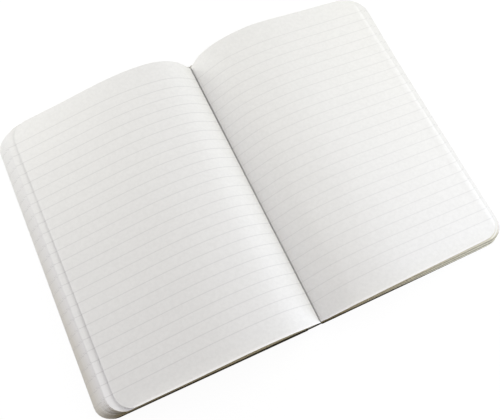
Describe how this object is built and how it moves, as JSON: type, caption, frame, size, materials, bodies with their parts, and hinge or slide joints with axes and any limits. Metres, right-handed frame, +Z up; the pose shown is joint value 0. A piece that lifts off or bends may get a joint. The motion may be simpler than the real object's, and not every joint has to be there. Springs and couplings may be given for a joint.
{
  "type": "open composition notebook",
  "caption": "Sewn ruled notebook lying open near its middle, with arched pages, fanned rounded fore edges and two card covers that bend at a cloth spine strip.",
  "frame": {"origin": "on the table, under the middle of the spine strip", "axes": "+X from the left page to the right page, +Y from the tail to the head of the pages, +Z up from the table"},
  "size_m": [0.288, 0.21, 0.0237],
  "materials": {
    "paper": "uncoated white writing paper, machine finished, with faint grey rulings",
    "thread": "waxed cotton sewing thread",
    "strip_cloth": "black book cloth, fine plain weave",
    "cover_card": "pressed card, dark olive brown, matt"
  },
  "bodies": {
    "pages": {"page_block": "paper", "sewing_thread": "thread", "spine_strip": "strip_cloth"},
    "front_cover": {"front_cover": "cover_card"},
    "back_cover": {"back_cover": "cover_card"}
  },
  "joints": [
    {"name": "front_cover_bend", "type": "hinge", "parent": "pages", "child": "front_cover", "pos_m": [-0.005, 0, 0], "axis": [0, -1, 0], "range_deg": [0, 90]},
    {"name": "back_cover_bend", "type": "hinge", "parent": "pages", "child": "back_cover", "pos_m": [0.005, 0, 0], "axis": [0, 1, 0], "range_deg": [0, 90]}
  ]
}
